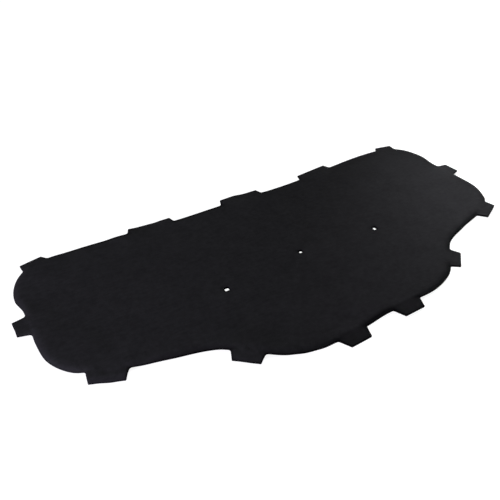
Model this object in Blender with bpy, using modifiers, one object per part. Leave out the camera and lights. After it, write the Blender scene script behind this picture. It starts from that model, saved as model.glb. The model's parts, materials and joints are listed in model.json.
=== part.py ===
"""Moulded felt insulation pad for the underside of a car's hood.

It is one piece of black needled felt, pressed hot in a mould: a thick soft field whose edge rolls
down to a thin hard rim, thirteen thin tabs that tuck in behind the hood's frame, and three square
holes for push-in clips. It lies on its back face at Z = 0, with the finished face up.
X runs across the car, +Y to its rear. The edge is drawn for the right half only and mirrored.
"""

import math

import bmesh
import bpy
from mathutils import Vector
from mathutils.geometry import interpolate_bezier

# Section through the felt, in metres like every size here
FIELD_THICKNESS = 0.0075
RIM_THICKNESS = 0.004
RIM_WIDTH = 0.0025
ROLL_WIDTH = 0.015
ROLL_STEPS = 5

# Clip holes: a pair on one line, and one on the middle plane a little behind that line
CLIP_HOLE_SIDE = 0.015
CLIP_HOLE_CORNER = 0.002
CLIP_HOLE_FROM_MIDDLE = 0.2385
MIDDLE_CLIP_SETBACK = 0.023

# Rear edge of the field: straight, with one step back and a slow rise to the corner
REAR_EDGE = 0.333
REAR_STEP = 0.012
REAR_STEP_FROM = 0.222
REAR_STEP_TO = 0.355
REAR_RISE = 0.016
REAR_RISE_TO = 0.560

# Rear corner and side: a quarter ellipse, a waist, a flank and a second round corner
HALF_WIDTH = 0.677
REAR_CORNER_ACROSS = 0.106
REAR_CORNER_ALONG = 0.120
REAR_CORNER_TAB_TURN = math.radians(18)
WAIST_DEPTH = 0.007
WAIST_BEHIND_CLIPS = 0.182
SIDE_TAB_BEHIND_CLIPS = 0.127
FLANK_INSET = 0.006
FLANK_BEHIND_CLIPS = 0.064
CHEEK_INSET = 0.016
CHEEK_AHEAD_OF_CLIPS = 0.006
JAW_INSET = 0.041
JAW_AHEAD_OF_CLIPS = 0.047

# Front edge: two hollow sweeps in to a blunt nose
FRONT_CORNER_FROM_MIDDLE = 0.568
FRONT_CORNER_AHEAD = 0.088
SWEEP_FROM_MIDDLE = 0.450
SWEEP_AHEAD = 0.123
HOLLOW_FROM_MIDDLE = 0.358
HOLLOW_AHEAD = 0.153
BROW_FROM_MIDDLE = 0.306
BROW_AHEAD = 0.198
NOSE_SIDE_FROM_MIDDLE = 0.240
NOSE_SIDE_AHEAD = 0.244
NOSE_EDGE = 0.265
NOSE_STRAIGHT_FROM = 0.165
NOSE_TAB_FROM_MIDDLE = 0.084

# Tabs: width at the tip, how far they stand out, and how much wider each side is at the root
REAR_MIDDLE_TAB_WIDTH = 0.126
REAR_STEP_TAB_WIDTH = 0.120
REAR_CORNER_TAB_WIDTH = 0.057
SIDE_TAB_WIDTH = 0.049
FRONT_CORNER_TAB_WIDTH = 0.071
BROW_TAB_WIDTH = 0.059
NOSE_TAB_WIDTH = 0.056
REAR_TAB_REACH = 0.022
SIDE_TAB_REACH = 0.030
FRONT_CORNER_TAB_REACH = 0.029
BROW_TAB_REACH = 0.027
NOSE_TAB_REACH = 0.029
REAR_CORNER_TAB_SLANT = 0.007
TAB_FLARE = 0.007
NOSE_TAB_FLARE = 0.012
TAB_ROOT_RADIUS = 0.007
TAB_TIP_RADIUS = 0.002

# Finish: black felt, with no shine
FELT_COLOUR = (0.017, 0.017, 0.018, 1.0)
FELT_ROUGHNESS = 0.95

# How finely the edge is drawn, and how much of a short side one rounded corner may take
EDGE_SPACING = 0.012
ARC_STEPS = 4
MOST_OF_SIDE = 0.45
LEVEL_TOLERANCE = 0.00001
STRAIGHT_ANGLE = math.radians(0.2)
SMOOTH_ANGLE = math.radians(40)


def clear_scene():
    for old in list(bpy.data.objects):
        bpy.data.objects.remove(old)


def new_collection(name):
    collection = bpy.data.collections.new(name)
    bpy.context.scene.collection.children.link(collection)
    return collection


def felt_material():
    material = bpy.data.materials.new("black_felt")
    material.use_nodes = True
    shader = material.node_tree.nodes["Principled BSDF"]
    shader.inputs["Base Color"].default_value = FELT_COLOUR
    shader.inputs["Roughness"].default_value = FELT_ROUGHNESS
    shader.inputs["Metallic"].default_value = 0.0
    return material


def edge_stations():
    """The places that the right half of the field's edge passes through, rear middle to nose."""
    corner_x = HALF_WIDTH - REAR_CORNER_ACROSS
    corner_y = REAR_EDGE + REAR_RISE - REAR_CORNER_ALONG
    stations = {
        "rear_middle": (0.0, REAR_EDGE),
        "rear_step_start": (REAR_STEP_FROM, REAR_EDGE),
        "rear_step": ((REAR_STEP_FROM + REAR_STEP_TO) / 2, REAR_EDGE + REAR_STEP / 2),
        "rear_step_end": (REAR_STEP_TO, REAR_EDGE + REAR_STEP),
        "rear_rise_end": (min(REAR_RISE_TO, corner_x), REAR_EDGE + REAR_RISE),
    }
    quarter = math.pi / 2
    corner_turns = {
        "rear_corner_tab": REAR_CORNER_TAB_TURN,
        "rear_corner": (REAR_CORNER_TAB_TURN + quarter) / 2,
        "side": quarter,
    }
    for name, turn in corner_turns.items():
        stations[name] = (
            corner_x + REAR_CORNER_ACROSS * math.sin(turn),
            corner_y + REAR_CORNER_ALONG * math.cos(turn),
        )
    stations |= {
        "waist": (HALF_WIDTH - WAIST_DEPTH, WAIST_BEHIND_CLIPS),
        "side_tab": (HALF_WIDTH - FLANK_INSET, SIDE_TAB_BEHIND_CLIPS),
        "flank": (HALF_WIDTH - FLANK_INSET, FLANK_BEHIND_CLIPS),
        "cheek": (HALF_WIDTH - CHEEK_INSET, -CHEEK_AHEAD_OF_CLIPS),
        "jaw": (HALF_WIDTH - JAW_INSET, -JAW_AHEAD_OF_CLIPS),
        "front_corner": (FRONT_CORNER_FROM_MIDDLE, -FRONT_CORNER_AHEAD),
        "sweep": (SWEEP_FROM_MIDDLE, -SWEEP_AHEAD),
        "hollow": (HOLLOW_FROM_MIDDLE, -HOLLOW_AHEAD),
        "brow": (BROW_FROM_MIDDLE, -BROW_AHEAD),
        "nose_side": (NOSE_SIDE_FROM_MIDDLE, -NOSE_SIDE_AHEAD),
        "nose_straight": (NOSE_STRAIGHT_FROM, -NOSE_EDGE),
        "nose_tab": (NOSE_TAB_FROM_MIDDLE, -NOSE_EDGE),
        "nose_middle": (0.0, -NOSE_EDGE),
    }
    return {name: Vector(place) for name, place in stations.items()}


def smooth_edge(stations):
    """Points about EDGE_SPACING apart on a smooth curve through the stations.

    Each station's slope is the mean of the slopes beside it, weighted to the nearer one.
    """
    places = list(stations.values())
    gaps = [(b - a).length for a, b in zip(places, places[1:])]
    slopes = [(b - a) / gap for a, b, gap in zip(places, places[1:], gaps)]
    across = Vector((1.0, 0.0))
    tangents = [across]
    for before, after, slope_in, slope_out in zip(gaps, gaps[1:], slopes, slopes[1:]):
        tangents.append((slope_in * after + slope_out * before) / (before + after))
    tangents.append(-across)
    points = []
    for index, gap in enumerate(gaps):
        start = places[index]
        end = places[index + 1]
        handle_out = start + tangents[index] * gap / 3
        handle_in = end - tangents[index + 1] * gap / 3
        count = max(2, math.ceil(gap / EDGE_SPACING)) + 1
        stretch = interpolate_bezier(start, handle_out, handle_in, end, count)
        points += [Vector(point[:2]) for point in stretch[:-1]]
    points.append(places[-1])
    return points


def lengths_along(points):
    lengths = [0.0]
    for a, b in zip(points, points[1:]):
        lengths.append(lengths[-1] + (b - a).length)
    return lengths


def point_at(points, lengths, distance):
    """The place this far along the edge, which goes on past either end as its own mirror image."""
    if distance < 0:
        place = point_at(points, lengths, -distance)
        return Vector((-place.x, place.y))
    if distance > lengths[-1]:
        place = point_at(points, lengths, 2 * lengths[-1] - distance)
        return Vector((-place.x, place.y))
    if distance == 0:
        return points[0]
    index = next(i for i, length in enumerate(lengths) if length >= distance)
    share = (distance - lengths[index - 1]) / (lengths[index] - lengths[index - 1])
    return points[index - 1].lerp(points[index], share)


def rounded(before, corner, after, radius):
    """An arc of this radius in place of a corner, or of less where its sides are short."""
    to_before = before - corner
    to_after = after - corner
    half_angle = to_before.angle(to_after) / 2
    room = MOST_OF_SIDE * min(to_before.length, to_after.length)
    cut = min(radius / math.tan(half_angle), room)
    first = corner + to_before.normalized() * cut
    last = corner + to_after.normalized() * cut
    towards = (first + last) / 2 - corner
    centre = corner + towards.normalized() * cut / math.cos(half_angle)
    start = first - centre
    sweep = start.angle_signed(last - centre)
    arc = []
    for step in range(ARC_STEPS + 1):
        turn = -sweep * step / ARC_STEPS
        c, s = math.cos(turn), math.sin(turn)
        arc.append(centre + Vector((c * start.x - s * start.y, s * start.x + c * start.y)))
    return arc


def tab_list():
    """Each tab of the right half: the station under its middle, then its sizes."""
    flare = TAB_FLARE
    return [
        ("rear_middle", REAR_MIDDLE_TAB_WIDTH, REAR_TAB_REACH, REAR_TAB_REACH, flare),
        ("rear_step", REAR_STEP_TAB_WIDTH, REAR_TAB_REACH, REAR_TAB_REACH, flare),
        (
            "rear_corner_tab",
            REAR_CORNER_TAB_WIDTH,
            REAR_TAB_REACH - REAR_CORNER_TAB_SLANT / 2,
            REAR_TAB_REACH + REAR_CORNER_TAB_SLANT / 2,
            flare,
        ),
        ("side_tab", SIDE_TAB_WIDTH, SIDE_TAB_REACH, SIDE_TAB_REACH, flare),
        (
            "front_corner",
            FRONT_CORNER_TAB_WIDTH,
            FRONT_CORNER_TAB_REACH,
            FRONT_CORNER_TAB_REACH,
            flare,
        ),
        ("brow", BROW_TAB_WIDTH, BROW_TAB_REACH, BROW_TAB_REACH, flare),
        ("nose_tab", NOSE_TAB_WIDTH, NOSE_TAB_REACH, NOSE_TAB_REACH, NOSE_TAB_FLARE),
    ]


def rim_outline(stations, edge, overlap):
    """The field's edge with the tabs standing out of it, run on past the middle plane."""
    lengths = lengths_along(edge)
    outline = [Vector((-overlap, REAR_EDGE))]
    done = -overlap
    for station, tip, reach_first, reach_last, flare in tab_list():
        nearest = min(range(len(edge)), key=lambda i: (edge[i] - stations[station]).length)
        middle = lengths[nearest]
        half_root = tip / 2 + flare
        root_first = point_at(edge, lengths, middle - half_root)
        root_last = point_at(edge, lengths, middle + half_root)
        along = (root_last - root_first).normalized()
        outward = Vector((-along.y, along.x))
        chord_middle = (root_first + root_last) / 2
        tip_first = chord_middle - along * tip / 2 + outward * reach_first
        tip_last = chord_middle + along * tip / 2 + outward * reach_last
        # The field's own points stay clear of the two arcs at the tab's root.
        margin = 2 * TAB_ROOT_RADIUS
        approach = point_at(edge, lengths, middle - half_root - margin)
        leaving = point_at(edge, lengths, middle + half_root + margin)
        for point, length in zip(edge, lengths):
            if done < length < middle - half_root - margin:
                outline.append(point)
        outline += rounded(approach, root_first, tip_first, TAB_ROOT_RADIUS)
        outline += rounded(root_first, tip_first, tip_last, TAB_TIP_RADIUS)
        outline += rounded(tip_first, tip_last, root_last, TAB_TIP_RADIUS)
        outline += rounded(tip_last, root_last, leaving, TAB_ROOT_RADIUS)
        done = middle + half_root + margin
    outline += [point for point, length in zip(edge, lengths) if length > done]
    outline.append(Vector((-overlap, -NOSE_EDGE)))
    return outline


def field_outline(edge, overlap):
    """The edge of the thick field, a rim's width inside the edge and run on past the plane."""
    inner = []
    for index, point in enumerate(edge):
        before = edge[max(index - 1, 0)]
        after = edge[min(index + 1, len(edge) - 1)]
        along = (after - before).normalized()
        inner.append(point + Vector((along.y, -along.x)) * RIM_WIDTH)
    first = Vector((RIM_WIDTH - overlap, REAR_EDGE - RIM_WIDTH))
    last = Vector((RIM_WIDTH - overlap, RIM_WIDTH - NOSE_EDGE))
    return [first, *inner, last]


def flat_plate(name, outline, low, high, shift_y):
    """A closed mesh object: the outline as an extruded curve from low to high, capped at both ends."""
    curve = bpy.data.curves.new(name + "_outline", "CURVE")
    curve.dimensions = "2D"
    curve.fill_mode = "NONE"
    curve.extrude = (high - low) / 2
    spline = curve.splines.new("POLY")
    spline.points.add(len(outline) - 1)
    for point, place in zip(spline.points, outline):
        point.co = (place.x, place.y + shift_y, 0.0, 1.0)
    spline.use_cyclic_u = True
    drawn = bpy.data.objects.new(name + "_outline", curve)
    bpy.context.scene.collection.objects.link(drawn)
    graph = bpy.context.evaluated_depsgraph_get()
    mesh = bpy.data.meshes.new_from_object(drawn.evaluated_get(graph))
    bpy.data.objects.remove(drawn)
    mesh.name = name

    shape = bmesh.new()
    shape.from_mesh(mesh)
    bmesh.ops.holes_fill(shape, edges=shape.edges, sides=0)
    bmesh.ops.translate(shape, verts=shape.verts, vec=(0.0, 0.0, (low + high) / 2))
    bmesh.ops.recalc_face_normals(shape, faces=shape.faces)
    bmesh.ops.dissolve_limit(
        shape, angle_limit=STRAIGHT_ANGLE, verts=shape.verts, edges=shape.edges
    )
    shape.to_mesh(mesh)
    shape.free()
    return bpy.data.objects.new(name, mesh)


def roll_down(plate, width, height):
    """Raises the plate's top in rings that follow a quarter ellipse, so that its edge rolls down."""
    shape = bmesh.new()
    shape.from_mesh(plate.data)
    done_in = 0.0
    done_up = 0.0
    for step in range(1, ROLL_STEPS + 1):
        turn = math.pi / 2 * step / ROLL_STEPS
        inward = width * (1 - math.cos(turn))
        upward = height * math.sin(turn)
        top = max(vert.co.z for vert in shape.verts)
        faces = [
            face
            for face in shape.faces
            if all(top - vert.co.z < LEVEL_TOLERANCE for vert in face.verts)
        ]
        bmesh.ops.inset_region(
            shape,
            faces=faces,
            thickness=inward - done_in,
            depth=upward - done_up,
            use_even_offset=True,
        )
        done_in = inward
        done_up = upward
    shape.to_mesh(plate.data)
    shape.free()


def clip_hole_cutter(name, place, shift_y):
    """A square prism with rounded upright edges, a little taller than the felt on both sides."""
    mesh = bpy.data.meshes.new(name)
    shape = bmesh.new()
    bmesh.ops.create_cube(shape, size=1.0)
    size = (CLIP_HOLE_SIDE, CLIP_HOLE_SIDE, 2 * FIELD_THICKNESS)
    bmesh.ops.scale(shape, verts=shape.verts, vec=size)
    upright = [
        edge
        for edge in shape.edges
        if abs(edge.verts[0].co.z - edge.verts[1].co.z) > FIELD_THICKNESS
    ]
    bmesh.ops.bevel(
        shape,
        geom=upright,
        offset=CLIP_HOLE_CORNER,
        segments=ARC_STEPS,
        profile=0.5,
        affect="EDGES",
    )
    centre = (place[0], place[1] + shift_y, FIELD_THICKNESS / 2)
    bmesh.ops.translate(shape, verts=shape.verts, vec=centre)
    shape.to_mesh(mesh)
    shape.free()
    return bpy.data.objects.new(name, mesh)


def add_boolean(target, other, operation):
    modifier = target.modifiers.new(f"{operation.lower()}_{other.name}", "BOOLEAN")
    modifier.operation = operation
    modifier.solver = "EXACT"
    modifier.object = other


def hide(helper):
    helper.hide_render = True
    helper.display_type = "WIRE"


def build():
    clear_scene()
    pad_parts = new_collection("hood_insulation_pad")
    cutters = new_collection("cutters")

    stations = edge_stations()
    edge = smooth_edge(stations)
    # The half runs on past the middle plane by a whole rear tab, and is cut back to the plane.
    overlap = REAR_MIDDLE_TAB_WIDTH
    rim = rim_outline(stations, edge, overlap)
    shift_y = -(max(p.y for p in rim) + min(p.y for p in rim)) / 2

    pad = flat_plate("insulation_pad", rim, 0.0, RIM_THICKNESS, shift_y)
    pad_parts.objects.link(pad)
    pad.data.materials.append(felt_material())

    field_low = RIM_THICKNESS / 2
    field = flat_plate("thick_field", field_outline(edge, overlap), field_low, RIM_THICKNESS, shift_y)
    cutters.objects.link(field)
    roll_down(field, ROLL_WIDTH, FIELD_THICKNESS - RIM_THICKNESS)
    hide(field)
    add_boolean(pad, field, "UNION")

    clip_holes = {
        "side_clip_hole": (CLIP_HOLE_FROM_MIDDLE, 0.0),
        "middle_clip_hole": (0.0, MIDDLE_CLIP_SETBACK),
    }
    for name, place in clip_holes.items():
        cutter = clip_hole_cutter(name, place, shift_y)
        cutters.objects.link(cutter)
        hide(cutter)
        add_boolean(pad, cutter, "DIFFERENCE")

    mirror = pad.modifiers.new("other_half", "MIRROR")
    mirror.use_axis[0] = True
    mirror.use_bisect_axis[0] = True
    mirror.merge_threshold = 0.0001
    mirror.bisect_threshold = 0.00001
    pad.data.shade_smooth()
    pad.data.set_sharp_from_angle(angle=SMOOTH_ANGLE)


build()
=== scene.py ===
"""Looks of the moulded felt pad that lines the underside of a car's hood.

The pad lies on a pale floor with its finished face up, as it comes out of its box.
"""

import json
import math

import bmesh
import bpy
import numpy as np
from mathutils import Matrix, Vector, geometry, kdtree, noise


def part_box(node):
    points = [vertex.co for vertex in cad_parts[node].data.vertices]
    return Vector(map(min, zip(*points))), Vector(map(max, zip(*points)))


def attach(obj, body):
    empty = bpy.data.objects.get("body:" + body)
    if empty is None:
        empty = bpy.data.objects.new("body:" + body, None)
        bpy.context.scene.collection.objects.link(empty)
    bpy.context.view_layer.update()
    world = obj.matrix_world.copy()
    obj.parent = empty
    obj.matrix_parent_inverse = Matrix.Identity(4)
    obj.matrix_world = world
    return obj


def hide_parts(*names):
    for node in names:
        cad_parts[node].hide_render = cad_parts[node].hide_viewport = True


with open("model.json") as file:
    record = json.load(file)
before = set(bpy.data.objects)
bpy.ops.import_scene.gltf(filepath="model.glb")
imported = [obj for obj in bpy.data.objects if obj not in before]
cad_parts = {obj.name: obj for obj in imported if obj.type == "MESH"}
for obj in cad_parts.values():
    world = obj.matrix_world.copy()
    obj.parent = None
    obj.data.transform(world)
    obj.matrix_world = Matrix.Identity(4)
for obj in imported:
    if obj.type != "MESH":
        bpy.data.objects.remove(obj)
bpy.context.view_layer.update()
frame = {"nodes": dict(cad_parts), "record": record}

# Cut outline
# The pad is one blanket of black needled felt. A die cuts its outline, its thirteen tabs and its
# three clip holes in one stroke, so every cut edge stands square to the face.
CUT_STEP = 0.004
HOLE_STEP = 0.0015
SAME_POINT = 0.00001
SMOOTH_PASSES = 4
JUST_ABOVE_RIM = 0.00005

mounts = {mount["name"]: Vector(mount["pos_m"]) for mount in frame["record"]["mounts"]}
face_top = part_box("insulation_pad")[1].z
rim_top = mounts["tab_rear_middle"].z


def outlines_at(height):
    """Closed outlines, counter-clockwise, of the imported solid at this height, the largest first."""
    places = {}
    links = {}
    mesh = frame["nodes"]["insulation_pad"].data
    mesh.calc_loop_triangles()
    for triangle in mesh.loop_triangles:
        corners = [mesh.vertices[i].co for i in triangle.vertices]
        ends = []
        for a, b in zip(corners, corners[1:] + corners[:1]):
            if (a.z > height) != (b.z > height):
                low, high = sorted((a, b), key=lambda corner: corner.z)
                place = low.lerp(high, (height - low.z) / (high.z - low.z)).xy
                key = (round(place.x / SAME_POINT), round(place.y / SAME_POINT))
                places[key] = place
                ends.append(key)
        if len(ends) == 2 and ends[0] != ends[1]:
            links.setdefault(ends[0], []).append(ends[1])
            links.setdefault(ends[1], []).append(ends[0])
    outlines = []
    while links:
        here = min(links)
        outline = []
        while here in links:
            outline.append(places[here])
            onward = [key for key in links.pop(here) if key in links]
            here = min(onward) if onward else None
        outlines.append(np.array(outline))
    outlines = [outline if area(outline) > 0 else outline[::-1] for outline in outlines]
    return sorted(outlines, key=area, reverse=True)


def area(outline):
    """Area of an outline, positive where it runs counter-clockwise."""
    onward = np.roll(outline, -1, axis=0)
    return (outline[:, 0] * onward[:, 1] - outline[:, 1] * onward[:, 0]).sum() / 2


def split_long_sides(outline, step):
    """The same outline, with each side longer than the step cut into even parts."""
    points = []
    for a, b in zip(outline, np.roll(outline, -1, axis=0)):
        parts = max(1, round(float(np.linalg.norm(b - a)) / step))
        points += [a + (b - a) * part / parts for part in range(parts)]
    return np.array(points)


def even_and_smooth(outline, step):
    """Points a step apart all round the outline, with the facets between them smoothed away."""
    closed = np.vstack([outline, outline[:1]])
    lengths = np.concatenate([[0], np.linalg.norm(np.diff(closed, axis=0), axis=1).cumsum()])
    count = round(lengths[-1] / step)
    at = np.linspace(0, lengths[-1], count, endpoint=False)
    points = np.stack([np.interp(at, lengths, closed[:, axis]) for axis in (0, 1)], axis=1)
    for _ in range(SMOOTH_PASSES):
        points = (np.roll(points, 1, axis=0) + 2 * points + np.roll(points, -1, axis=0)) / 4
    return points


def moved_in(outline, distance):
    """The outline moved inwards, square to itself. A negative distance moves it out."""
    along = np.roll(outline, -1, axis=0) - np.roll(outline, 1, axis=0)
    along /= np.linalg.norm(along, axis=1, keepdims=True)
    return outline + distance * np.stack([-along[:, 1], along[:, 0]], axis=1)


def inside(outline, points):
    """Which of the points lie inside the outline."""
    x, y = points.T
    within = np.zeros(len(points), bool)
    for (ax, ay), (bx, by) in zip(outline, np.roll(outline, -1, axis=0)):
        if ay != by:
            crosses = (ay > y) != (by > y)
            within ^= crosses & (x < (bx - ax) * (y - ay) / (by - ay) + ax)
    return within


cut_edge, *hole_edges = outlines_at(rim_top / 2)
cut_edge = split_long_sides(cut_edge, CUT_STEP)
hole_edges = [split_long_sides(outline, HOLE_STEP) for outline in hole_edges]
field_edge = even_and_smooth(outlines_at(rim_top + JUST_ABOVE_RIM)[0], CUT_STEP)

# Pressed shape
# A hot mould presses the blanket to a thin hard rim and thin tabs, and leaves the field thick and
# soft. Its edge rolls down to the rim, and runs out in a long slope where a tab joins it.
ROLL_WIDTH = 0.017
ROLL_POWER = 2.3
ROLL_RINGS = 8
RING_CROWDING = 1.5
# The die leaves a fine slanting arris all round the face
ARRIS = 0.0006
# The long slope into a tab, to each side of the field's edge, and how it ends beside the tab
SLOPE_INSIDE = 0.024
SLOPE_OUTSIDE = 0.022
TAB_SIDE_GAP = 0.004
TAB_SIDE_FADE = 0.012
# The face is drawn in round a clip hole
HOLE_SINK = 0.0012
HOLE_SINK_WIDTH = 0.009
HOLE_RINGS = 4
# The face is uneven in three sizes: broad patches, dimples, and lumps where it rolls down
PATCH_SIZE = 0.110
PATCH_DEPTH = 0.0003
DIMPLE_SIZE = 0.028
DIMPLE_DEPTH = 0.00018
LUMP_SIZE = 0.013
LUMP_DEPTH = 0.0011
# Painted shade at the edges: shares of the felt's colour darkened, and how far in from the edge
RIM_SHADE = 0.42
RIM_SHADE_WIDTH = 0.015
RIM_SHADE_POWER = 1.6
ARRIS_SHADE = 0.80
ARRIS_SHADE_WIDTH = 0.0050
WALL_SHADE = 0.85
HOLE_SHADE = 0.22
HOLE_SHADE_WIDTH = 0.010
# The flat of the rim, past the field's edge, gets less painted shade than the roll above it
RIM_BAND_LIGHT = 0.65
RIM_BAND_WIDTH = 0.003
# At the left end and at the far right the edges get a painted highlight instead of painted shade
LEFT_END_FROM = 0.38
LEFT_END_FADE = 0.27
LEFT_RIM_LIGHT = 1.6
LEFT_ARRIS_LIGHT = 1.0
LEFT_WALL_LIGHT = 0.5
FAR_RIGHT_FROM = 0.45
FAR_RIGHT_FADE = 0.15
FAR_RIM_LIGHT = 1.3
# Painted shade on tabs that look darker, and painted light on tabs that look lighter. It
# holds within the reach of a tab's mount, and has faded out at twice that.
TAB_SHADES = {
    "tab_nose_left": 0.26,
    "tab_nose_right": 0.28,
    "tab_rear_step_right": -0.16,
    "tab_rear_middle": -0.10,
    "tab_rear_step_left": -0.06,
    "tab_side_right": -0.12,
}
TAB_SHADE_REACH = 0.035
TAB_ARRIS_LIGHT = 0.45
# A dark tab's painted shade stops at the field's edge, at a lip given a painted highlight
TAB_SHADE_EDGE = 0.010
LIP_LIGHT = 0.35
LIP_WIDTH = 0.012
# Stretches of the edge painted black as shade, where the felt rolls steeply: the place, how far
# along the edge they reach, how far in from it, and the share of the colour darkened
STEEP_EDGES = (
    ((0.385, -0.173), 0.055, 0.005, 0.95),
    ((0.0, -0.305), 0.050, 0.014, 0.65),
)


def tree_of(outline):
    """A search tree of the outline's points."""
    tree = kdtree.KDTree(len(outline))
    for index, (x, y) in enumerate(outline):
        tree.insert((x, y, 0), index)
    tree.balance()
    return tree


def distances_to(tree, points):
    """Distance from each point to the nearest one of the tree's."""
    return np.array([tree.find((x, y, 0))[2] for x, y in points])


def smooth_step(share):
    """Eases a share from 0 to 1. Below 0 it stays 0, and above 1 it stays 1."""
    share = np.clip(share, 0, 1)
    return share * share * (3 - 2 * share)


def near_to(points, place, reach):
    """1 round the place, falling off steeply to 0 past its reach."""
    away = np.hypot(points[:, 0] - place[0], points[:, 1] - place[1])
    return np.exp(-((away / reach) ** 4))


field_tree = tree_of(field_edge)
cut_tree = tree_of(cut_edge)
hole_trees = [tree_of(outline) for outline in hole_edges]
# Where the cut runs far outside the field's edge, a tab joins it: 1 under a tab, 0 between tabs
tab_share = distances_to(cut_tree, field_edge) - TAB_SIDE_GAP
tab_share = smooth_step(tab_share / TAB_SIDE_FADE)
for _ in range(SMOOTH_PASSES):
    tab_share = (np.roll(tab_share, 1) + 2 * tab_share + np.roll(tab_share, -1)) / 4


def place_in_field(points):
    """How far inside the field's edge each point lies, and whether a tab joins the edge there."""
    nearest = np.array([field_tree.find((x, y, 0))[1] for x, y in points])
    distance = np.full(len(points), np.inf)
    for first, last in ((nearest - 1, nearest), (nearest, (nearest + 1) % len(field_edge))):
        start = field_edge[first]
        side = field_edge[last] - start
        along = ((points - start) * side).sum(axis=1) / (side * side).sum(axis=1)
        foot = start + np.clip(along, 0, 1)[:, None] * side
        distance = np.minimum(distance, np.linalg.norm(points - foot, axis=1))
    return np.where(inside(field_edge, points), distance, -distance), tab_share[nearest]


def thickness(points):
    """How full the pressed felt is at each point, from 0 at the rim to 1 in the soft field."""
    inward, tab = place_in_field(points)
    rolled = 1 - (1 - np.clip(inward / ROLL_WIDTH, 0, 1)) ** ROLL_POWER
    sloped = smooth_step((inward + SLOPE_OUTSIDE) / (SLOPE_INSIDE + SLOPE_OUTSIDE))
    return rolled * (1 - tab) + sloped * tab


def left_end(points):
    """0 over most of the pad, rising to 1 at its left end."""
    return smooth_step((-points[:, 0] - LEFT_END_FROM) / LEFT_END_FADE)


def far_right_side(points):
    """0 over most of the pad, rising to 1 along its rear edge on the right and its right end."""
    return smooth_step((points[:, 0] + points[:, 1] - FAR_RIGHT_FROM) / FAR_RIGHT_FADE)


def painted_edge_shade(points):
    """Share of the felt's colour taken by painted shade, below 0 where it is a painted highlight."""
    inward, tab = place_in_field(points)
    left, far_right = left_end(points), far_right_side(points)
    rim = (1 - np.clip(inward / RIM_SHADE_WIDTH, 0, 1)) ** RIM_SHADE_POWER * (1 - tab)
    rim *= 1 - LEFT_RIM_LIGHT * left - FAR_RIM_LIGHT * far_right
    rim *= 1 - RIM_BAND_LIGHT * np.clip(-inward / RIM_BAND_WIDTH, 0, 1)
    arris = 1 - np.clip(distances_to(cut_tree, points) / ARRIS_SHADE_WIDTH, 0, 1)
    arris *= (1 - LEFT_ARRIS_LIGHT * left) * (1 - TAB_ARRIS_LIGHT * tab)
    shade = np.maximum(RIM_SHADE * rim, ARRIS_SHADE * arris)
    for place, reach, width, steep in STEEP_EDGES:
        near = near_to(points, place, reach)
        # Full over the first half of the width, then fading
        near *= np.clip(2 - 2 * distances_to(cut_tree, points) / width, 0, 1)
        shade = np.maximum(shade, steep * near)
    for tree in hole_trees:
        near = 1 - np.clip(distances_to(tree, points) / HOLE_SHADE_WIDTH, 0, 1)
        shade = np.maximum(shade, HOLE_SHADE * near)
    outside = smooth_step((TAB_SHADE_EDGE - inward) / TAB_SHADE_EDGE)
    lip = smooth_step(inward / TAB_SHADE_EDGE) * smooth_step(2 - inward / LIP_WIDTH)
    for name, darker in TAB_SHADES.items():
        place = mounts[name]
        away = np.hypot(points[:, 0] - place.x, points[:, 1] - place.y)
        near = smooth_step(2 - away / TAB_SHADE_REACH)
        if darker > 0:
            shade += darker * near * (outside - LIP_LIGHT * lip)
        else:
            shade += darker * near
    return shade + RIM_SHADE * np.minimum(rim, 0)


def face_height(points):
    """Height of the finished face: full and uneven in the field, lumpy halfway down its roll."""
    full = thickness(points)
    height = rim_top + (face_top - rim_top) * full
    for tree in hole_trees:
        share = np.clip(distances_to(tree, points) / HOLE_SINK_WIDTH, 0, 1)
        height -= HOLE_SINK * (1 - share) ** 2
    # Each noise is read at a level of its own, so that none repeats another
    for index, (x, y) in enumerate(points):
        patch = noise.noise(Vector((x, y, 0.0)) / PATCH_SIZE)
        dimple = noise.noise(Vector((x, y, PATCH_SIZE)) / DIMPLE_SIZE)
        height[index] += full[index] * (PATCH_DEPTH * patch + DIMPLE_DEPTH * dimple)
        lump = noise.noise(Vector((x, y, 2 * PATCH_SIZE)) / LUMP_SIZE)
        height[index] += 4 * full[index] * (1 - full[index]) * LUMP_DEPTH * lump
    return height


# Solid felt
# The finished face, the back and the cut edges between them are one closed skin. The face is
# drawn finely, in rings where the felt rolls down and in an even grid elsewhere.
FACE_SPACING = 0.0045
BACK_SPACING = 0.016
TRIANGLE_TOLERANCE = 1e-7
WELD_WITHIN = 0.000001
# Rows of points up a cut edge, as shares of its height
WALL_ROWS = (0.0, 0.35, 0.7, 1.0)
SHARP_FROM = math.radians(50)


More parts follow.
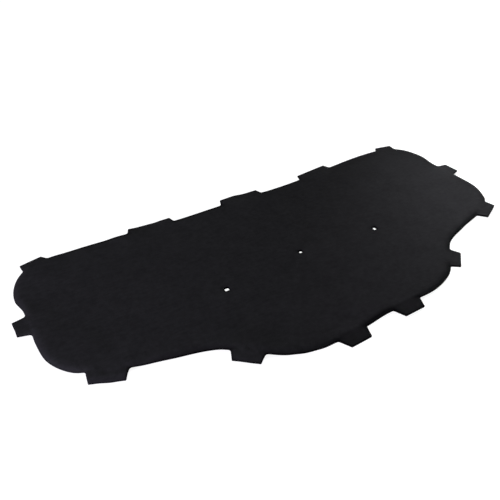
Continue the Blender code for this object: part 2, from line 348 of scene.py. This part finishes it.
def triangles_between(outlines, spacing):
    """Points over the pad, less its holes, with these outlines drawn in, and their triangles."""
    points = np.vstack(outlines)
    sides = []
    for outline in outlines:
        start = sides[-1][0] + 1 if sides else 0
        count = len(outline)
        sides += [(start + i, start + (i + 1) % count) for i in range(count)]
    tree = tree_of(points)
    low, high = cut_edge.min(axis=0), cut_edge.max(axis=0)
    rows = np.arange(low[1], high[1], spacing * math.sqrt(3) / 2)
    columns = np.arange(low[0], high[0], spacing)
    grid = np.array(
        [(x + spacing / 2 * (row % 2), y) for row, y in enumerate(rows) for x in columns]
    )
    grid = grid[inside(cut_edge, grid) & (distances_to(tree, grid) > spacing / 2)]
    points = np.vstack([points, grid])
    flat = [Vector(point) for point in points]
    triangles = geometry.delaunay_2d_cdt(flat, sides, [], 0, TRIANGLE_TOLERANCE, True)[2]
    triangles = np.array(triangles)
    middles = points[triangles].mean(axis=1)
    kept = inside(cut_edge, middles)
    for outline in hole_edges:
        kept &= ~inside(outline, middles)
    # Slivers outside a straight stretch of the cut edge have corners that run round it clockwise
    on_edge = (triangles < len(outlines[0])).all(axis=1)
    rising = (np.roll(triangles, -1, axis=1) > triangles).sum(axis=1)
    kept &= ~on_edge | (rising == 2)
    return points, [tuple(triangle) for triangle in triangles[kept].tolist()]


def cut_wall(outline, top):
    """The cut face of the felt: quads round the outline, from the back up to these heights."""
    count = len(outline)
    rows = [np.column_stack([outline, top * share]) for share in WALL_ROWS]
    quads = []
    for row in range(len(rows) - 1):
        for i in range(count):
            here = row * count + i
            beside = row * count + (i + 1) % count
            quads.append((here, beside, beside + count, here + count))
    return np.vstack(rows), quads


def rings_of(outline, width, count):
    """The outline and this many more further in, up to the width, crowding towards the outline."""
    return [moved_in(outline, width * (ring / count) ** RING_CROWDING) for ring in range(count + 1)]


face_outlines = [cut_edge, moved_in(cut_edge, ARRIS), *rings_of(field_edge, ROLL_WIDTH, ROLL_RINGS)]
for outline in hole_edges:
    face_outlines += rings_of(outline, -HOLE_SINK_WIDTH, HOLE_RINGS)
face_points, face_triangles = triangles_between(face_outlines, FACE_SPACING)
face_z = face_height(face_points)
# The first ring is the cut edge, at the foot of the arris
face_z[: len(cut_edge)] -= ARRIS
back_points, back_triangles = triangles_between([cut_edge, *hole_edges], BACK_SPACING)
skins = [
    (np.column_stack([face_points, face_z]), face_triangles),
    (np.column_stack([back_points, np.zeros(len(back_points))]), back_triangles),
    cut_wall(cut_edge, face_height(cut_edge) - ARRIS),
    *[cut_wall(outline, face_height(outline)) for outline in hole_edges],
]
starts = np.cumsum([0] + [len(points) for points, _ in skins])
felt_points = np.vstack([points for points, _ in skins])
felt_faces = [
    tuple(start + index for index in corners)
    for (_, faces), start in zip(skins, starts)
    for corners in faces
]
felt_full = thickness(felt_points[:, :2])
# The painted shade and painted highlights of the felt, kept at each point
felt_painted_shade = painted_edge_shade(felt_points[:, :2])
walls = slice(starts[2], None)
# The cut walls get painted shade, less of it at the left end
felt_painted_shade[walls] = WALL_SHADE * (1 - LEFT_WALL_LIGHT * left_end(felt_points[walls]))

# Lie of the felt
# The mould gives the pad the hood's hollow, so it lies on its middle and its edges stand a few
# millimetres off the floor. It is a little skewed, and its soft tabs bend each in their own way.
REAR_LIFT = 0.0027
FRONT_LIFT = 0.0045
END_LIFT = 0.0034
TWIST = 0.0041
SKEW = -0.0083
BOW = 0.0011
# How far tabs and clip holes lie to the right, to the back and up, against the even hollow
NAMED_DRIFTS = {
    "tab_rear_middle": (0.012, 0.0, 0.0035),
    "tab_rear_step_left": (0.006, 0.0, -0.0015),
    "tab_rear_step_right": (0.001, 0.0, 0.0005),
    "tab_rear_corner_left": (0.0005, 0.001, 0.0035),
    "tab_side_left": (0.0, 0.0, 0.003),
    "tab_side_right": (-0.0015, -0.0005, -0.0005),
    "tab_front_corner_right": (0.009, -0.001, 0.0015),
    "tab_brow_left": (0.0, 0.0005, 0.0035),
    "tab_brow_right": (0.0035, -0.0015, -0.002),
    "tab_nose_left": (0.0015, -0.002, -0.005),
    "tab_nose_right": (-0.0045, -0.0005, 0.003),
    "clip_seat_left": (-0.002, 0.0015, 0.0),
    "clip_seat_middle": (-0.002, 0.004, 0.0),
    "clip_seat_right": (-0.002, 0.0035, 0.0),
}
# The same for stretches of the edge between tabs, by their places
EDGE_DRIFTS = {
    (-0.675, 0.200): (0.0, 0.0, -0.0015),
    (-0.620, -0.030): (-0.001, -0.0005, 0.004),
    (-0.460, 0.315): (-0.006, 0.0005, 0.0),
    (-0.190, -0.295): (-0.003, 0.0, 0.0),
    (-0.145, 0.300): (0.0, 0.0015, 0.0025),
    (0.210, -0.290): (0.009, -0.0005, -0.0005),
    (0.470, -0.165): (-0.0015, -0.001, -0.0005),
    (0.470, 0.315): (-0.003, 0.0, 0.0),
    (0.690, 0.200): (-0.003, 0.0, 0.0),
}
DRIFT_REACH = 0.075
# The same for single corners and short waves of the edge
CORNER_DRIFTS = {
    (-0.700, 0.070): (0.002, 0.0005, 0.0005),
    (-0.674, 0.150): (0.0015, 0.0, 0.0),
    (-0.608, -0.135): (-0.0015, 0.0025, 0.003),
    (-0.540, -0.165): (0.0005, 0.0015, 0.002),
    (-0.365, 0.310): (0.0, 0.001, 0.002),
    (-0.345, -0.225): (-0.001, 0.0015, 0.001),
    (-0.232, 0.315): (0.001, 0.0005, 0.002),
    (-0.180, -0.298): (-0.0005, -0.0015, -0.0015),
    (-0.040, 0.325): (0.0, 0.001, 0.002),
    (0.035, 0.325): (0.0, -0.001, -0.0015),
    (0.055, -0.321): (-0.001, 0.0, -0.001),
    (0.235, 0.320): (0.0045, -0.001, 0.001),
    (0.372, -0.185): (0.001, -0.0015, -0.0005),
}
CORNER_REACH = 0.035
# How far the last stretch of a tab bends up, or below 0 down, past a crease across it
TIP_CURLS = {"tab_front_corner_left": -0.0035, "tab_brow_left": -0.002}
CREASE_FROM_FIELD = 0.019
CURL_LENGTH = 0.008
# The share by which each clip hole has closed up, from the left one to the right one
HOLE_CLOSINGS = (0.08, 0.20, 0.05)
CLOSING_REACH = 0.020

half_width = mounts["tab_side_right"].x
rear_reach = mounts["tab_rear_middle"].y
front_reach = -mounts["tab_nose_left"].y


def lay_down(points):
    """Moves the points of the flat felt to where they lie."""
    flat = points[:, :2].copy()
    x, y = flat.T
    lift = REAR_LIFT * np.clip(y / rear_reach, 0, None) ** 2
    lift += FRONT_LIFT * np.clip(-y / front_reach, 0, None) ** 2
    lift += END_LIFT * (np.abs(x) / half_width) ** 4
    lift += TWIST * x * y / (half_width * rear_reach)
    drifts = {tuple(mounts[name].xy): drift for name, drift in NAMED_DRIFTS.items()}
    drifts.update(EDGE_DRIFTS)
    for group, reach in ((drifts, DRIFT_REACH), (CORNER_DRIFTS, CORNER_REACH)):
        for place, (right, back, up) in group.items():
            near = near_to(flat, place, reach)
            points[:, 0] += near * right
            points[:, 1] += near * back
            lift += near * up
    hole_centres = sorted(outline.mean(axis=0).tolist() for outline in hole_edges)
    for centre, closing in zip(hole_centres, HOLE_CLOSINGS):
        near = closing * near_to(flat, centre, CLOSING_REACH)
        points[:, 0] -= near * (x - centre[0])
        points[:, 1] -= near * (y - centre[1])
    outward = -place_in_field(flat)[0]
    past_crease = np.clip((outward - CREASE_FROM_FIELD) / CURL_LENGTH, 0, None)
    for name, curl in TIP_CURLS.items():
        near = np.hypot(x - mounts[name].x, y - mounts[name].y) < DRIFT_REACH
        lift += near * curl * past_crease
    points[:, 0] += SKEW * y
    points[:, 1] += BOW * (x / half_width) ** 2
    points[:, 2] += np.clip(lift, 0, None)


lay_down(felt_points)
mesh = bpy.data.meshes.new("felt_pad")
mesh.from_pydata(felt_points.tolist(), [], felt_faces)
fullness = mesh.attributes.new("fullness", "FLOAT", "POINT")
fullness.data.foreach_set("value", felt_full.astype(np.float32))
# The painted shade and painted highlights go to the mesh, to darken or lighten the felt's colour
shade = mesh.attributes.new("painted_edge_shade", "FLOAT", "POINT")
shade.data.foreach_set("value", felt_painted_shade.astype(np.float32))
felt_pad = bpy.data.objects.new("felt_pad", mesh)
bpy.context.scene.collection.objects.link(felt_pad)
skin = bmesh.new()
skin.from_mesh(mesh)
bmesh.ops.remove_doubles(skin, verts=skin.verts, dist=WELD_WITHIN)
bmesh.ops.recalc_face_normals(skin, faces=skin.faces)
skin.to_mesh(mesh)
skin.free()
mesh.shade_smooth()
mesh.set_sharp_from_angle(angle=SHARP_FROM)

# Felt finish
# Fine black fibres needled flat and pressed: no shine, a faint mottle a finger wide, broader faint
# patches, and a nap that runs along the pad, a few degrees off its length.


class Thread:
    """A node's output that can be used in sums like a number."""

    def __init__(self, socket):
        self.socket = socket

    def node(self, kind, settings, sockets, output=0):
        """Adds a node of this kind, its settings first and then its sockets' values or links."""
        tree = self.socket.id_data
        made = tree.nodes.new("ShaderNode" + kind)
        for name, value in settings.items():
            setattr(made, name, value)
        for name, value in sockets.items():
            if isinstance(value, Thread):
                tree.links.new(value.socket, made.inputs[name])
            else:
                made.inputs[name].default_value = value
        return Thread(made.outputs[output])

    def math(self, operation, first, second):
        """Adds a Math node, either of whose two values may be a number."""
        return self.node("Math", {"operation": operation}, {0: first, 1: second})

    def __add__(self, other):
        return self.math("ADD", self, other)

    def __radd__(self, other):
        return self.math("ADD", other, self)

    def __sub__(self, other):
        return self.math("SUBTRACT", self, other)

    def __rsub__(self, other):
        return self.math("SUBTRACT", other, self)

    def __mul__(self, other):
        return self.math("MULTIPLY", self, other)

    def __rmul__(self, other):
        return self.math("MULTIPLY", other, self)


FELT_DARK = (0.0080, 0.0082, 0.0086, 1.0)
FELT_LIGHT = (0.0150, 0.0154, 0.0161, 1.0)
FIBRE_SIZE = 0.0011
MOTTLE_SIZE = 0.012
PATCHY_SIZE = 0.060
NAP_LENGTH = 0.026
NAP_WIDTH = 0.0044
NAP_TURN = math.radians(-4)
# How much each of them tells in the tone, how high it stands against a fibre, and how deep and
# strong the relief is that they make together
FIBRE_TONE = 0.6
MOTTLE_TONE = 1.2
PATCHY_TONE = 0.5
NAP_TONE = 0.55
MOTTLE_HEIGHT = 0.8
NAP_HEIGHT = 0.8
FIBRE_DEPTH = 0.0006
RELIEF = 0.55
RIM_ROUGHNESS = 0.84
FIELD_ROUGHER = 0.12

felt = bpy.data.materials.new("black_needle_felt")
felt.use_nodes = True
shader = felt.node_tree.nodes["Principled BSDF"]
places = Thread(felt.node_tree.nodes.new("ShaderNodeTexCoord").outputs["Object"])
full = places.node("Attribute", {"attribute_name": "fullness"}, {}, "Fac")
# The painted shade and painted highlights of the edges, tabs and clip holes
painted_shading = places.node("Attribute", {"attribute_name": "painted_edge_shade"}, {}, "Fac")
fibre = places.node(
    "TexNoise", {}, {"Vector": places, "Scale": 1 / FIBRE_SIZE, "Detail": 3.0, "Roughness": 0.6}
)
mottle = places.node(
    "TexNoise", {}, {"Vector": places, "Scale": 1 / MOTTLE_SIZE, "Detail": 4.0, "Roughness": 0.65}
)
patchy = places.node(
    "TexNoise", {}, {"Vector": places, "Scale": 1 / PATCHY_SIZE, "Detail": 2.0, "Roughness": 0.5}
)
combed = places.node(
    "Mapping", {"vector_type": "POINT"}, {"Vector": places, "Rotation": (0.0, 0.0, -NAP_TURN)}
)
combed = combed.node(
    "VectorMath",
    {"operation": "MULTIPLY"},
    {0: combed, 1: (1 / NAP_LENGTH, 1 / NAP_WIDTH, 1 / NAP_LENGTH)},
)
nap = places.node("TexNoise", {}, {"Vector": combed, "Scale": 1.0, "Detail": 2.0})
tone = (
    0.5
    + (mottle - 0.5) * MOTTLE_TONE
    + (nap - 0.5) * NAP_TONE
    + (fibre - 0.5) * FIBRE_TONE
    + (patchy - 0.5) * PATCHY_TONE
)
soft_colour = tone.node(
    "Mix", {"data_type": "RGBA", "clamp_factor": True}, {0: tone, 6: FELT_DARK, 7: FELT_LIGHT}, 2
)
# Painted shade and painted highlights scale the felt's own colour
colour = tone.node("VectorMath", {"operation": "SCALE"}, {0: soft_colour, "Scale": 1 - painted_shading})
felt.node_tree.links.new(colour.socket, shader.inputs["Base Color"])
roughness = RIM_ROUGHNESS + full * FIELD_ROUGHER
felt.node_tree.links.new(roughness.socket, shader.inputs["Roughness"])
shader.inputs["Specular IOR Level"].default_value = 0.0
relief = fibre + nap * NAP_HEIGHT + mottle * MOTTLE_HEIGHT
bump = places.node("Bump", {}, {"Strength": RELIEF, "Distance": FIBRE_DEPTH, "Height": relief})
felt.node_tree.links.new(bump.socket, shader.inputs["Normal"])
mesh.materials.append(felt)

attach(felt_pad, "root")
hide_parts("insulation_pad")

# Floor
# A wide sheet of matte white board, a hair under the pad. What the camera sees of it is white
# where nothing shades it. Past the lamps' reach it glows more, so that it ends in plain white.
FLOOR_SIZE = 16.0
FLOOR_DROP = 0.0002
BOARD_GREY = (0.25, 0.25, 0.25, 1.0)
FLOOR_GLOW = 0.90
LAMPS_REACH = 0.9
GLOW_FULL_AT = 1.8

floor_mesh = bpy.data.meshes.new("floor")
half = FLOOR_SIZE / 2
corners = [(-half, -half), (half, -half), (half, half), (-half, half)]
floor_mesh.from_pydata([(x, y, -FLOOR_DROP) for x, y in corners], [], [(0, 1, 2, 3)])
floor = bpy.data.objects.new("floor", floor_mesh)
bpy.context.scene.collection.objects.link(floor)
board = bpy.data.materials.new("white_board")
board.use_nodes = True
board_shader = board.node_tree.nodes["Principled BSDF"]
board_shader.inputs["Base Color"].default_value = BOARD_GREY
board_shader.inputs["Roughness"].default_value = 0.9
board_shader.inputs["Specular IOR Level"].default_value = 0.0
spots = Thread(board.node_tree.nodes.new("ShaderNodeTexCoord").outputs["Object"])
away = spots.node("VectorMath", {"operation": "LENGTH"}, {0: spots}, "Value")
unlit = away.node(
    "MapRange",
    {"interpolation_type": "SMOOTHSTEP"},
    {"Value": away, "From Min": LAMPS_REACH, "From Max": GLOW_FULL_AT},
)
glow = FLOOR_GLOW + unlit * (1 - FLOOR_GLOW)
board.node_tree.links.new(glow.socket, board_shader.inputs["Emission Color"])


def seen_straight(tree):
    """1 for what is seen, straight or in a gloss or through glass, and 0 for what lights things."""
    rays = tree.nodes.new("ShaderNodeLightPath").outputs
    straight = Thread(rays["Is Camera Ray"]) + Thread(rays["Is Glossy Ray"])
    return straight + Thread(rays["Is Transmission Ray"])


seen = seen_straight(board.node_tree)
board.node_tree.links.new(seen.socket, board_shader.inputs["Emission Strength"])
floor_mesh.materials.append(board)

# Light
# A broad soft lamp above and behind, a long one low on the left and a small one behind the right
# end, with a narrow beam. Little light comes from the room itself, which is seen as plain white.
ROOM_LIGHT = 0.12

world = bpy.data.worlds.new("room")
bpy.context.scene.world = world
world.use_nodes = True
sky = world.node_tree.nodes["Background"]
unseen = 1 - seen_straight(world.node_tree)
strength = 1 - unseen * (1 - ROOM_LIGHT)
sky.inputs["Color"].default_value = (1.0, 1.0, 1.0, 1.0)
world.node_tree.links.new(strength.socket, sky.inputs["Strength"])


def soft_lamp(name, place, aim, size, power, spread, colour):
    """An oblong lamp of this many watts, aimed at a point, its beam spread by these degrees."""
    light = bpy.data.lights.new(name, "AREA")
    light.shape = "RECTANGLE"
    light.size, light.size_y = size
    light.energy = power
    light.spread = math.radians(spread)
    light.color = colour
    lamp = bpy.data.objects.new(name, light)
    bpy.context.scene.collection.objects.link(lamp)
    lamp.location = place
    lamp.rotation_euler = (Vector(aim) - Vector(place)).to_track_quat("-Z", "Y").to_euler()
    lamp.visible_camera = False


soft_lamp(
    "top_lamp",
    place=(0.1, 0.8, 2.3),
    aim=(0.1, 0.1, 0.0),
    size=(2.4, 1.4),
    power=46.0,
    spread=180,
    colour=(1.0, 1.0, 0.98),
)
soft_lamp(
    "left_lamp",
    place=(-2.1, -0.70, 0.50),
    aim=(-0.5, 0.0, 0.0),
    size=(1.2, 0.3),
    power=71.0,
    spread=180,
    colour=(0.82, 0.74, 1.0),
)
soft_lamp(
    "right_lamp",
    place=(1.19, 0.75, 0.675),
    aim=(0.57, -0.17, 0.0),
    size=(0.5, 0.35),
    power=3.12,
    spread=36,
    colour=(1.0, 0.98, 1.0),
)

# Camera
# The view of the photograph: from off the pad's front left, looking down by some 37 degrees. The
# camera stands near, so the left end of the pad looks larger than the right end.
FOCAL_LENGTH = 37.26
SENSOR_WIDTH = 36.0
AZIMUTH = math.radians(-32.32)
ELEVATION = math.radians(36.90)
DISTANCE = 1.3694
AIM = Vector((-0.1064, 0.0742, 0.0))
CLIP_END = 100.0

back_to_camera = Vector(
    (
        math.sin(AZIMUTH) * math.cos(ELEVATION),
        -math.cos(AZIMUTH) * math.cos(ELEVATION),
        math.sin(ELEVATION),
    )
)
camera_data = bpy.data.cameras.new("camera")
camera_data.lens = FOCAL_LENGTH
camera_data.sensor_width = SENSOR_WIDTH
camera_data.clip_end = CLIP_END
camera = bpy.data.objects.new("camera", camera_data)
bpy.context.scene.collection.objects.link(camera)
camera.location = AIM + back_to_camera * DISTANCE
camera.rotation_euler = (-back_to_camera).to_track_quat("-Z", "Y").to_euler()
bpy.context.scene.camera = camera
bpy.context.scene.view_settings.view_transform = "Standard"
